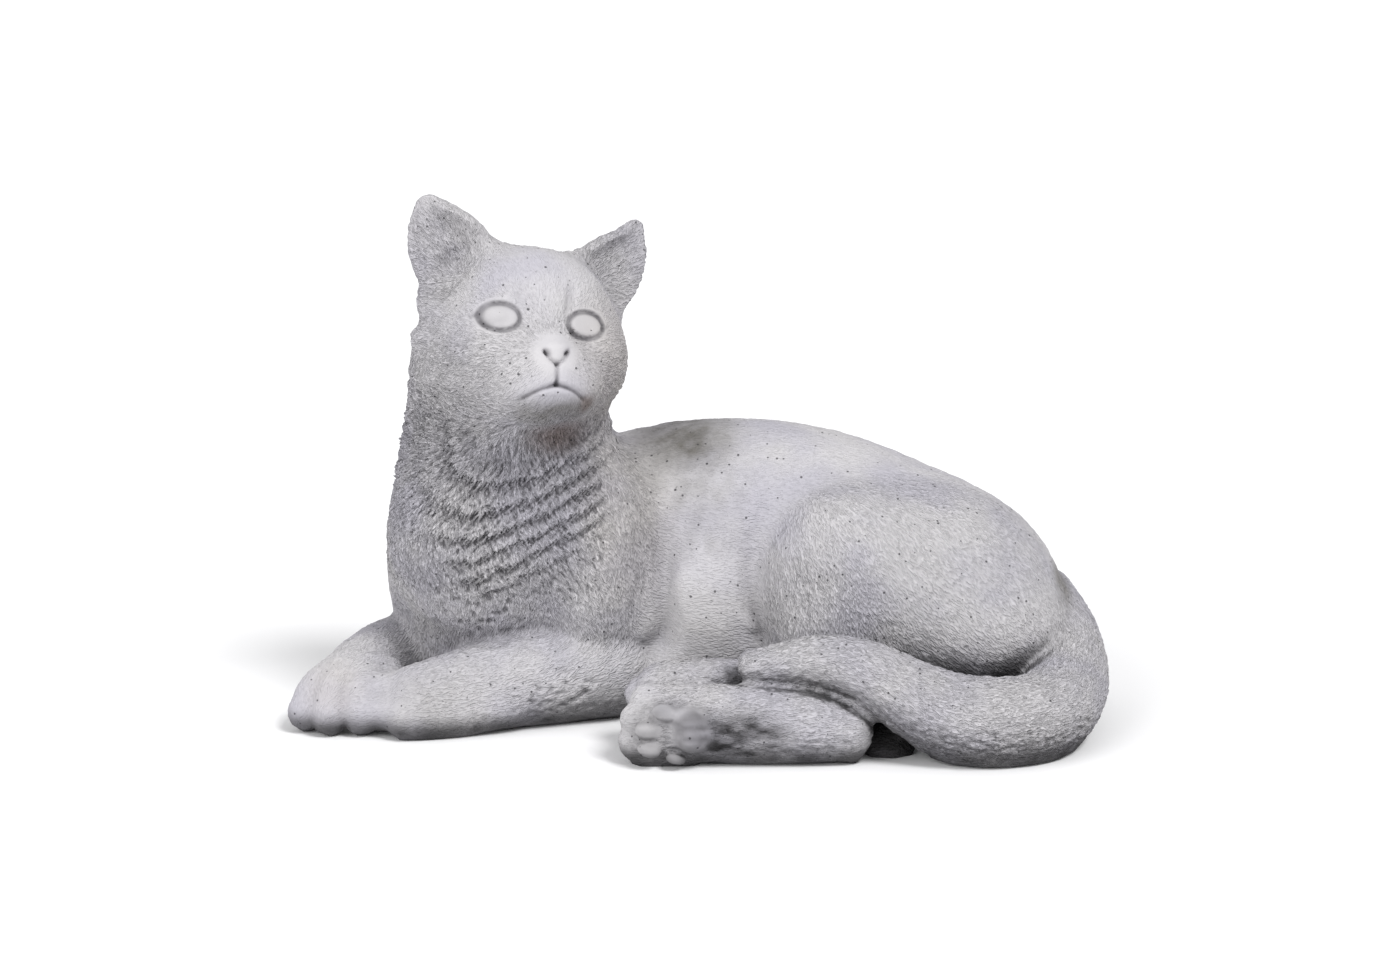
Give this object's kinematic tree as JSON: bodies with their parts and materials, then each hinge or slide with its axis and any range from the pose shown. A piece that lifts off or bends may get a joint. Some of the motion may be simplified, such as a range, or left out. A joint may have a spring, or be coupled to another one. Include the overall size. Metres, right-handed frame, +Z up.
{
  "type": "reclining cat garden figure",
  "caption": "Life-size reclining cat, head raised and turned to the viewer, hind feet together and tail laid round them; cast stone, for a garden",
  "frame": {"origin": "centre of the bounding box on the ground, at the flat underside", "axes": "+X from head to tail along the longest extent, the shown side with the feet towards -Y, +Z up"},
  "size_m": [0.4182, 0.216, 0.2682],
  "materials": {
    "stone": "bare cast stone, pale grey, fine pinholes, fur carved all over"
  },
  "bodies": {
    "root": {"cat": "stone"}
  },
  "joints": []
}
